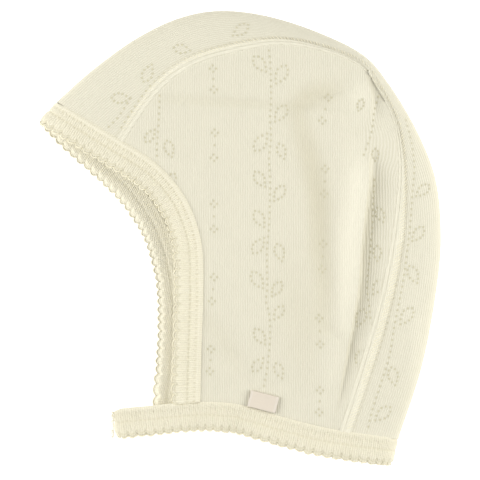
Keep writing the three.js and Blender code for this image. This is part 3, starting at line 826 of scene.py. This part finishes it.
def drawn_in(plan, gap):
    """Moves the rim of a plan grid inwards by the gap, square to the rim."""
    moved = plan.copy()
    loop = np.concatenate([plan[0], plan[1:, -1], plan[-1, -2::-1], plan[-2:0:-1, 0]])
    turn = np.sign(np.sum(loop[:, 0] * np.roll(loop[:, 1], -1) - np.roll(loop[:, 0], -1) * loop[:, 1]))
    way = np.roll(loop, -2, 0) - np.roll(loop, 2, 0)
    loop = loop + unit(np.stack([-way[:, 1], way[:, 0]], 1) * turn) * gap
    rows, columns = plan.shape[:2]
    moved[0] = loop[:columns]
    moved[1:, -1] = loop[columns:columns + rows - 1]
    moved[-1, -2::-1] = loop[columns + rows - 1:2 * columns + rows - 2]
    moved[-2:0:-1, 0] = loop[2 * columns + rows - 2:]
    return moved


def pressed(x, y):
    """How far the cloth is pressed down beside the seam and the two bands that are sewn on it."""
    beside = zip((seam_trace, face_trace, neck_trace), PRESSED)
    return sum(depth * fade(nearest(trace, x, y)[0], reach) for trace, (depth, reach) in beside)


def upper_panel():
    rows, columns, strip_columns = 300, 214, 46
    seam_at_pleat = place_on(seam_upper, PLEAT[0][:2])
    seam_corner = place_on(seam_upper, (49.4, 60.5))
    neck_start = place_on(neck_edge, face_upper.at(face_upper.length))
    neck_at_pleat = place_on(neck_edge, PLEAT[-1][:2])
    neck_end = place_on(neck_edge, seam_upper.at(seam_upper.length))
    left = stretch(face_upper, face_upper.length, SEAM_START)
    bottom = stretch(neck_edge, neck_start, neck_at_pleat)
    top = stretch(seam_upper, 0, seam_at_pleat)
    seam_side = stretch(seam_upper, seam_upper.length, seam_corner)
    top_strip = stretch(seam_upper, seam_at_pleat, seam_corner)
    bottom_strip = stretch(neck_edge, neck_at_pleat, neck_end)

    def pleat_side(t):
        """The pleat's line from the neck edge up, with its two ends moved onto the panel's edges."""
        t = np.asarray(t, float)[..., None]
        line = pleat_line.share(1 - t[..., 0])
        line = line + (bottom(1) - pleat_line.share(1)) * smooth(1 - t * 12)
        return line + (top(1) - pleat_line.share(0)) * smooth(1 - (1 - t) * 12)

    t = np.linspace(0, 1, rows + 1)
    s = 1 - (1 - np.linspace(0, 1, columns + 1)) ** 1.1
    s_strip = 1 - (1 - np.linspace(0, 1, strip_columns + 1)) ** 0.8
    main = patch(left, pleat_side, bottom, top, s, t)
    strip = patch(pleat_side, seam_side, bottom_strip, top_strip, s_strip, t)
    plan = drawn_in(np.concatenate([main, strip[:, 1:]], axis=1), SEAM_GAP)
    x, y = plan[..., 0], plan[..., 1]
    strip_width = np.linalg.norm(strip[:, -1] - strip[:, 0], axis=1)
    strip_wale = np.minimum(strip_width.mean(), 1.2 * strip_width)[:, None]
    strip_across = strip[:, :1, 0] + s_strip[None, 1:] * strip_wale
    knit = np.dstack([np.concatenate([main[..., 0], strip_across], axis=1), y])
    dent = dents(x, y, PANEL_EYELETS)
    sunk = DENT_DEPTH * dent + pressed(x, y)
    face = np.dstack([x, y, upper_height(x, y)])
    normals = grid_normals(face)
    outer = face - normals * sunk[..., None]
    inner = face - normals * (FABRIC_THICKNESS + 0.5 * sunk)[..., None]
    # Painted shade round the eyelets and in the folds, and painted light on the pleat's swell and beside the
    # seam
    shade = np.clip(0.2 * dent + fold_shade(x, y), -1, 1)
    piece = wall("side_panel_upper_knit", outer, inner, knit, shade, "pointelle_knit", step=2)
    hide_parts("side_panel_upper")

    places = PANEL_EYELETS[inside_panel(*PANEL_EYELETS.T)]
    tilt = np.tile([-0.18, 1.0, 0.0], (len(places), 1))
    eyelet_rings("side_panel_upper_eyelets", places, upper_height(*places.T), tilt)


def inside_panel(x, y, clearance=1.2):
    """Which places are on the side panel, clear of the seam and the bands."""
    from_seam, beyond_seam, _ = nearest(seam_trace, x, y)
    from_neck, above_neck, _ = nearest(neck_trace, x, y)
    from_face, beside_face, _ = nearest(face_trace, x, y)
    clear = np.min([from_seam, from_neck, from_face], axis=0) > clearance
    return clear & ~beyond_seam & above_neck & beside_face


def lower_panel():
    rows, columns = 200, 140
    seam_corner = place_on(seam_lower, SEAM_LOWER[4])
    neck_start = place_on(neck_edge, face_lower.at(face_lower.length))
    neck_end = place_on(neck_edge, seam_lower.at(seam_lower.length))
    left = stretch(face_lower, SEAM_START, face_lower.length)
    right = stretch(seam_lower, seam_corner, seam_lower.length)
    top = stretch(seam_lower, 0, seam_corner)
    bottom = stretch(neck_edge, neck_start, neck_end)
    plan = patch(left, right, top, bottom, np.linspace(0, 1, columns + 1), np.linspace(0, 1, rows + 1))
    plan = drawn_in(plan, SEAM_GAP)
    x, y = plan[..., 0], plan[..., 1]
    dent = dents(x, y, PANEL_EYELETS)
    outer = np.dstack([x, y, DENT_DEPTH * dent])
    inner = np.dstack([x, y, FABRIC_THICKNESS - 0.6 * DENT_DEPTH * dent])
    # Painted shade round the eyelets
    shade = 0.3 * dent
    piece = wall("side_panel_lower_knit", outer, inner, plan, shade, "pointelle_knit")
    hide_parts("side_panel_lower")


def seam_profile(from_seam, distance, width):
    """How far the seam allowance stands over the cloth, and its shade.

    width is how far the needle holes lie from the seam's edge.
    """
    roll = np.sin(math.pi * np.clip((from_seam + LIP) / ROLL_WIDTH, 0, 1)) ** 1.2
    start = ROLL_WIDTH - LIP
    ridge = smooth((from_seam - start) / 0.5) * (1 - smooth((from_seam - width + 1.3) / 1.1))
    slanted = np.cos(2 * math.pi * (distance + STITCH_SLANT * from_seam) / STITCH_PITCH)
    ditch = fade(from_seam - start - 0.1, 0.28)
    step = (distance + NEEDLE_PITCH / 2) % NEEDLE_PITCH - NEEDLE_PITCH / 2
    needle = fade(np.hypot(step, from_seam - width), NEEDLE_REACH)
    gutter = fade(from_seam - width, GUTTER_REACH)
    height = ROLL_RISE * roll + (RIDGE_RISE + 0.05 * slanted) * ridge - 0.12 * needle - 0.08 * gutter
    # Painted shade in the ditch, the needle holes and the gutter, and painted light on the roll and the ridge
    shade = 0.02 * ditch + 0.1 * needle + 0.08 * gutter - 0.32 * np.maximum(roll, ridge)
    return height, shade


def centre_panel():
    """The panel from the lower seam round the fold to the upper seam, with its seam allowances."""
    steps, fold_steps, upper_steps, lower_steps = 720, 8, 62, 34
    end_fade = 0.08
    t = np.linspace(0, 1, steps + 1)
    fold = crown_fold.share(t)
    seams = {"upper": seam_upper.share(t), "lower": seam_lower.share(t)}
    faces = {"upper": face_upper, "lower": face_lower}
    at_start, at_end = smooth(1 - t / end_fade)[:, None], smooth(1 - (1 - t) / end_fade)[:, None]

    def plan_at(side, share):
        share = share[:, None]
        seam = seams[side]
        mixed = fold + (seam - fold) * share
        start_way = fold[0] + (seam[0] - fold[0]) * share
        end_way = fold[-1] + (seam[-1] - fold[-1]) * share
        on_face = faces[side].at(share[:, 0] * SEAM_START)
        on_neck = neck_edge.at(neck_edge.length - share[:, 0] * np.linalg.norm(seam[-1] - fold[-1]))
        return mixed + at_start * (on_face - start_way) + at_end * (on_neck - end_way)

    widths = {side: np.linalg.norm(seams[side] - fold, axis=1) for side in seams}
    columns, inward, sides = [], [], []
    for ease in np.arange(lower_steps) / lower_steps:
        share = (1 - SEAM_GAP / widths["lower"]) * (1 - ease) + FOLD_RADIUS / widths["lower"] * ease
        columns.append(plan_at("lower", share))
        inward.append(share * widths["lower"])
        sides.append(-1)
    for ease in np.arange(fold_steps) / fold_steps:
        distance = FOLD_RADIUS * (1 - math.sin(ease * math.pi / 2))
        columns.append(plan_at("lower", distance / widths["lower"]))
        inward.append(np.full(steps + 1, distance))
        sides.append(-1)
    for ease in np.arange(upper_steps + 1) / upper_steps:
        share = (1 + LIP / widths["upper"]) * (1 - (1 - ease) ** 1.4)
        columns.append(plan_at("upper", share))
        inward.append(share * widths["upper"])
        sides.append(1)
    plan, inward, upper = np.stack(columns, 1), np.stack(inward, 1), np.array(sides)[None, :] > 0
    x, y = plan[..., 0], plan[..., 1]
    cloth = np.dstack([x, y, np.where(upper, upper_height(x, y), lower_height(inward))])
    normals = grid_normals(cloth)
    from_seam = np.where(upper, widths["upper"][:, None], widths["lower"][:, None]) - inward
    distance = (t * seam_upper.length)[:, None]
    allowance = allowance_at(t)[:, None]
    lift, shade = seam_profile(from_seam, distance, allowance)
    clear = smooth(inward / 3)
    dent = dents(x, y, CENTRE_EYELETS) * smooth(from_seam - allowance + 0.5)
    lift_upper = lift * clear - DENT_DEPTH * dent
    lift_lower = np.minimum(0.3 * lift - 0.15, 0) * clear - DENT_DEPTH * dent
    outer = cloth + normals * np.where(upper, lift_upper, lift_lower)[..., None]
    over = smooth(1 - from_seam / 0.25) * upper
    under = cloth + normals * (np.minimum(lift_upper - 0.06, 0.08) * over)[..., None]
    inner = under - normals * (FABRIC_THICKNESS * (1 - over))[..., None]
    # The seam's painted shade and light, painted shade round the eyelets, and painted shade along the
    # bonnet's fold
    shade = np.clip(shade * clear + 0.2 * dent + FOLD_SHADE * fade(inward, FOLD_TONE_REACH), -1, 1)
    across = np.where(upper, inward, -inward)
    knit = np.dstack([across, np.broadcast_to(distance, across.shape)])
    piece = wall("centre_panel_knit", outer, inner, knit, shade, "pointelle_knit", step=2)
    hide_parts("centre_panel")
    seam_threads()
    centre_eyelets()


def beside_seam(distance, from_seam):
    """A place beside the upper seam: the plan point and its height on the seam allowance."""
    at = seam_upper.at(distance)
    way = seam_upper.along(distance)
    point = at + np.stack([-way[..., 1], way[..., 0]], -1) * np.asarray(from_seam)[..., None]
    width = allowance_at(np.asarray(distance) / seam_upper.length)
    rise = seam_profile(np.asarray(from_seam), np.asarray(distance), width)[0]
    return np.column_stack([point, upper_height(point[:, 0], point[:, 1]) + rise])


def seam_threads():
    """Slanted cover stitches over the seam allowance, and a needle hole at the end of every second one."""
    routes, holes = [], []
    uneven = np.random.default_rng(3)
    for distance in np.arange(3.5, seam_upper.length - 3.5, STITCH_PITCH):
        distance = distance + uneven.uniform(-0.2, 0.2)
        width = allowance_at(distance / seam_upper.length)
        reach = np.linspace(ROLL_WIDTH - LIP + uneven.uniform(0, 0.5), width - uneven.uniform(0.1, 0.7), 5)
        route = beside_seam(distance - STITCH_SLANT * (reach - width), reach)
        route[:, 2] += 0.05 * np.sin(np.linspace(0, math.pi, 5)) - 0.05
        routes.append(route)
    for distance in np.arange(2 * NEEDLE_PITCH, seam_upper.length - NEEDLE_PITCH, NEEDLE_PITCH):
        width = allowance_at(distance / seam_upper.length)
        holes.append(beside_seam(np.array([distance]), np.array([width]))[0])
    holes = np.array(holes)
    threads("cover_stitches", routes, STITCH_RADIUS, sides=5)
    eyelet_rings("needle_holes", holes[:, :2], holes[:, 2] + 0.06, unit(np.gradient(holes, axis=0)))


def centre_eyelets():
    """The centre panel's eyelets on the upper side, between the seam allowance and the fold."""
    x, y = CENTRE_EYELETS.T
    from_seam, beyond, share = nearest(seam_trace, x, y)
    from_edges = np.min([nearest(trace, x, y)[0] for trace in (fold_trace, face_trace, neck_trace)], axis=0)
    kept = beyond & (from_seam > allowance_at(share) + 0.5) & (from_edges > 1.5)
    places = CENTRE_EYELETS[kept]
    way = seam_upper.along(share[kept] * seam_upper.length)
    ways = np.column_stack([way, np.zeros(len(way))])
    eyelet_rings("centre_panel_eyelets", places, upper_height(*places.T), ways)


# Bands

def band_path(legs):
    """A band's sewn line as rows of plan point, way across the band, distance along its line, and side.

    Each leg has its line, its side as 1 for upper and -1 for lower, whether it is taken forwards, and the way
    across the band at its line's start and end where that isn't square to the line.
    """
    found = []
    for line, side, forward, start_way, end_way in legs:
        distance = np.linspace(0, line.length, 4000)
        way = line.along(distance)
        square = np.stack([way[:, 1], -way[:, 0]], 1)
        for turned, from_end in ((start_way, distance), (end_way, line.length - distance)):
            if turned is not None:
                share = smooth(1 - from_end / 9)[:, None]
                square = square * (1 - share) + np.array(turned) * share
        rows = np.column_stack([line.at(distance), unit(square), distance, np.full(len(distance), side)])
        found.append(rows if forward else rows[::-1])
    return np.concatenate(found)


def band(name, node, path, height, opened, loops, style):
    """A ribbed band with a stitched groove along it and a scalloped, corded edge.

    height gives its outer face, and opened how far its sewn edge laps over the panel, from 0 to 1.
    style has the groove's depth, the sewn edge's roll, the needle pricks' depth and where the ribs start.
    """
    groove_depth, roll_rise, prick_depth, ribs_from = style
    per_scallop = 16
    laps = np.array([-LIP, -0.8 * LIP, -0.4 * LIP, 0.06])
    shares = np.concatenate([np.linspace(0.03, 0.86, 19), np.linspace(0.9, 1, 5)])
    z = height(path, path[:, 0], path[:, 1])
    step = np.hypot(np.linalg.norm(np.diff(path[:, :2], axis=0), axis=1), np.diff(z))
    distance = np.concatenate([[0], np.cumsum(step)])
    scallops = round(distance[-1] / SCALLOP_PITCH)
    pitch = distance[-1] / scallops
    at = np.linspace(0, distance[-1], scallops * per_scallop + (0 if loops else 1), endpoint=not loops)
    read = np.stack([np.interp(at, distance, path[:, k]) for k in range(path.shape[1])], 1)
    read[:, 5] = np.where(read[:, 5] < 0, -1, 1)
    lobe = np.abs(np.sin(math.pi * at / pitch)) ** 0.7
    uneven = waves(at, 0 * at, EDGE_WAVES)
    width = (BAND_WIDTH - CORD_RADIUS - SCALLOP_DEPTH * (1 - lobe) + uneven)[:, None]
    lap = opened(read)[:, None]
    tucked = np.array([0.01, 0.02, 0.03, 0.06])[None]
    first = laps[None] * lap + tucked * (1 - lap)
    reach = np.concatenate([first, shares[None] * width], axis=1)
    x = read[:, :1] + read[:, 2:3] * reach
    y = read[:, 1:2] + read[:, 3:4] * reach
    cloth = np.dstack([x, y, height(np.broadcast_to(read[:, None], (*x.shape, 6)), x, y)])
    normals = grid_normals(cloth, loops)
    along = np.broadcast_to(at[:, None], x.shape)
    rib_pitch = pitch / round(pitch / RIB_PITCH)
    shift = waves(along, reach, RIB_WAVES)
    ribs = np.cos(2 * math.pi * along / rib_pitch + shift)
    fleece = waves(along, reach, FLEECE_WAVES)
    stitched = 0.7 + 0.3 * np.cos(2 * math.pi * along / (pitch / 2))
    groove = fade(reach - GROOVE_AT - waves(along, reach, GROOVE_WAVES), GROOVE_REACH) * stitched
    arc = fade(reach - width + ARC_AT, ARC_REACH)
    prick = (along + PRICK_PITCH / 2) % PRICK_PITCH - PRICK_PITCH / 2
    prick = fade(np.hypot(prick, reach - PRICK_AT), PRICK_REACH)
    edge = smooth((reach + LIP * lap) / 1.3) ** 0.8
    roll = roll_rise * np.sin(math.pi * np.clip((reach + LIP) / 2.1, 0, 1))
    outside = np.clip((reach - GROOVE_AT) / (BAND_WIDTH - GROOVE_AT), 0, 1)
    thinner = 0.35 * smooth((reach / width - 0.8) / 0.2)
    plain = (1 - arc) * (1 - groove) * smooth((reach - ribs_from) / 0.8)
    lift = 0.62 * (edge - 1) + roll + 0.2 * np.sin(math.pi * outside) + (RIB_HEIGHT * ribs + fleece) * plain
    lift = lift - groove_depth * groove - 0.22 * arc - prick_depth * prick - thinner
    down = read[:, 5:6] < 0
    outer = cloth + normals * np.where(down, np.minimum(lift - 0.35, -0.02), lift)[..., None]
    lapped = smooth((0.03 - reach) / 0.1) * lap
    thick = BAND_THICKNESS - thinner + np.where(down, 0.5 * lift, 0.2 * lift)
    lap_thick = np.maximum(0.56, 0.08 - lift)
    inner = cloth - normals * (thick * (1 - lapped) + lap_thick * lapped)[..., None]
    # Painted shade in the groove, in the arc inside the loops and in the needle pricks, and painted light on
    # the far side's band
    shade = 0.5 * groove + 0.45 * arc + 2.5 * prick_depth * prick - FAR_SIDE_LIGHT * down
    knit = np.dstack([along * RIB_PITCH / rib_pitch + shift * RIB_PITCH / (2 * math.pi), reach])
    piece = wall(name, outer, inner, knit, shade, "ribbed_band", loops=loops)
    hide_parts(node)
    cord = (outer[:, -1] + inner[:, -1]) / 2
    bulge = CORD_RADIUS * (0.2 + 0.5 * lobe)[:, None]
    cord = cord + np.column_stack([read[:, 2], read[:, 3], np.zeros(len(at))]) * bulge
    threads(name + "_loops", [cord], CORD_RADIUS, loops=loops)
    return piece


def upper_band_height(x, y, inward):
    proud = BAND_THICKNESS - FABRIC_THICKNESS
    return upper_height(x, y) + proud * smooth(inward / 4)


def fold_way(fold_end, corner):
    return unit(np.array(fold_end) - np.array(corner))


def face_band():
    way = fold_way(FOREHEAD_FOLD_END, CROWN_FOLD[0])
    path = band_path([
        (face_lower, -1, False, way, FACE_BAND_ENDS["lower"]),
        (face_upper, 1, True, way, FACE_BAND_ENDS["upper"]),
    ])

    def height(rows, x, y):
        upper = upper_band_height(x, y, rows[..., 4])
        return np.where(rows[..., 5] > 0, upper, lower_height(rows[..., 4]))

    def opened(rows):
        return np.where(rows[:, 5] > 0, smooth((rows[:, 4] - 1) / 7), 0)

    piece = band("face_band_ribbed", "face_band", path, height, opened, False, FACE_STYLE)


def neck_band():
    way = fold_way(NAPE_FOLD_END, CROWN_FOLD[-1])
    path = band_path([(neck_edge, 1, True, None, way), (neck_edge, -1, False, None, way)])

    def height(rows, x, y):
        from_strap_end = rows[..., 4]
        from_nape = neck_edge.length - from_strap_end
        upper = upper_band_height(x, y, from_nape)
        bend = np.sqrt(1 - np.maximum(1 - from_strap_end / FOLD_RADIUS, 0) ** 2)
        upper = FOLD_RADIUS + (upper - FOLD_RADIUS) * bend
        return np.where(rows[..., 5] > 0, upper, lower_height(np.minimum(from_strap_end, from_nape)))

    def opened(rows):
        from_end = np.minimum(rows[:, 4], neck_edge.length - rows[:, 4])
        return np.where(rows[:, 5] > 0, smooth(from_end / 4), 0)

    piece = band("neck_band_ribbed", "neck_band_with_chin_strap", path, height, opened, True, NECK_STYLE)


# Label tab

def label_tab():
    """A tape folded double: its fold away from the band, its two cut ends in the band's seam."""
    across, up = 36, 24
    turn = math.radians(LABEL["turn"])
    layer, clearance = 0.5, 0.12
    high = LABEL["height"]
    middle = (layer + clearance) / 2
    u = np.linspace(-0.5, 0.5, across + 1)[None] * LABEL["width"]
    flat = np.linspace(0.55, high - layer, up)
    bend = np.linspace(-math.pi / 2, math.pi / 2, 9)[1:-1]
    v = np.concatenate([flat, high - layer + middle * np.cos(bend), flat[::-1]])[:, None]
    lift = np.concatenate([0 * flat, middle + middle * np.sin(bend), 0 * flat + 2 * middle])[:, None]
    x = LABEL["x"] + u * math.cos(turn) - v * math.sin(turn)
    y = LABEL["y"] + u * math.sin(turn) + v * math.cos(turn)
    ripple = 0.1 * np.sin(u * 0.9) * v / high
    cloth = np.dstack([x, y, upper_height(x, y) + 0.32 + lift + ripple])
    normals = grid_normals(cloth)
    steps = np.hypot(np.diff(v, axis=0), np.diff(lift, axis=0))
    distance = np.concatenate([[[0]], np.cumsum(steps, axis=0)])
    knit = np.dstack(np.broadcast_arrays(u, distance))
    outer, inner = cloth + normals * layer / 2, cloth - normals * layer / 2
    piece = wall("label_tab_tape", outer, inner, knit, np.zeros(x.shape), "woven_tape")
    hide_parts("label_tab")


# Loose fibres

def loose_fibres():
    """Short fibres that stand off the strap's end and the scalloped edges of the upper side."""
    uneven = np.random.default_rng(11)
    starts = []
    for _ in range(FIBRES_AT_STRAP_END):
        down, height = uneven.uniform(0.2, BAND_WIDTH - 0.4), uneven.uniform(1, 4)
        start = np.array([NECK_EDGE[0][0] + 0.3, NECK_EDGE[0][1] - down, height])
        starts.append((start, np.array([-1.0, 0.0])))
    for line in (face_upper, neck_edge):
        for distance in uneven.uniform(3, line.length - 3, FIBRES_AT_EDGE):
            way = line.along(distance)
            square = np.array([way[1], -way[0]])
            x, y = line.at(distance) + square * (BAND_WIDTH - 0.6)
            starts.append((np.array([x, y, float(upper_height(x, y)) - 0.5]), square))
    routes = []
    for start, outward in starts:
        turn, rise = uneven.uniform(-1.1, 1.1), uneven.uniform(-0.2, 0.4)
        way = np.array([outward[0] - turn * outward[1], outward[1] + turn * outward[0], rise])
        curl = np.array([-way[1], way[0], 0.0]) * uneven.uniform(-0.5, 0.5)
        long = uneven.uniform(0.7, 1.5)
        routes.append([start + long * (share * way + share ** 2 * curl) for share in np.linspace(0, 1, 5)])
    threads("loose_fibres", routes, FIBRE_RADIUS, sides=4)


# Studio

def studio():
    scene = bpy.context.scene
    scene.view_settings.view_transform = "Standard"
    mesh = bpy.data.meshes.new("floor")
    corners = [(x * FLOOR_REACH, y * FLOOR_REACH, 0) for x, y in ((-1, -1), (1, -1), (1, 1), (-1, 1))]
    mesh.from_pydata(corners, [], [(0, 1, 2, 3)])
    floor = bpy.data.objects.new("floor", mesh)
    floor.location.z = -FLOOR_BELOW * MM
    scene.collection.objects.link(floor)
    paper = bpy.data.materials.new("lit_paper")
    paper.use_nodes = True
    shader = paper.node_tree.nodes["Principled BSDF"]
    shader.inputs["Base Color"].default_value = (0.92, 0.92, 0.92, 1)
    shader.inputs["Roughness"].default_value = 0.9
    shader.inputs["Emission Color"].default_value = (1, 1, 1, 1)
    shader.inputs["Emission Strength"].default_value = FLOOR_GLOW
    mesh.materials.append(paper)
    world = bpy.data.worlds.new("studio")
    scene.world = world
    world.use_nodes = True
    world.node_tree.nodes["Background"].inputs[0].default_value = (1, 1, 1, 1)
    world.node_tree.nodes["Background"].inputs[1].default_value = WORLD_LIGHT
    for name, spot, size, power in LAMPS:
        light = bpy.data.lights.new(name, "AREA")
        light.size = size
        light.energy = power
        lamp = bpy.data.objects.new(name, light)
        lamp.location = spot
        lamp.rotation_euler = (-Vector(spot)).to_track_quat("-Z", "Y").to_euler()
        scene.collection.objects.link(lamp)


def camera():
    """Straight above, as the photograph is taken, and far enough off to look flat."""
    data = bpy.data.cameras.new("camera")
    data.sensor_width = 36
    data.lens = data.sensor_width * CAMERA_DISTANCE / CAMERA_ACROSS
    data.clip_end = 10
    eye = bpy.data.objects.new("camera", data)
    eye.location = (*CAMERA_MIDDLE, CAMERA_DISTANCE + CAMERA_FOCUS)
    bpy.context.scene.collection.objects.link(eye)
    bpy.context.scene.camera = eye


# What the pieces share

PANEL_EYELETS = eyelets(PANEL_STEMS, PANEL_LEAVES, BUD_PAIRS)
CENTRE_EYELETS = eyelets(CENTRE_STEMS, CENTRE_LEAVES, [])
MATERIALS = {
    "pointelle_knit": knit_material(),
    "ribbed_band": band_material(),
    "thread": thread_material(),
    "eyelet_shade": eyelet_material(),
    "woven_tape": tape_material(),
}

studio()
camera()
upper_panel()
lower_panel()
centre_panel()
face_band()
neck_band()
label_tab()
loose_fibres()
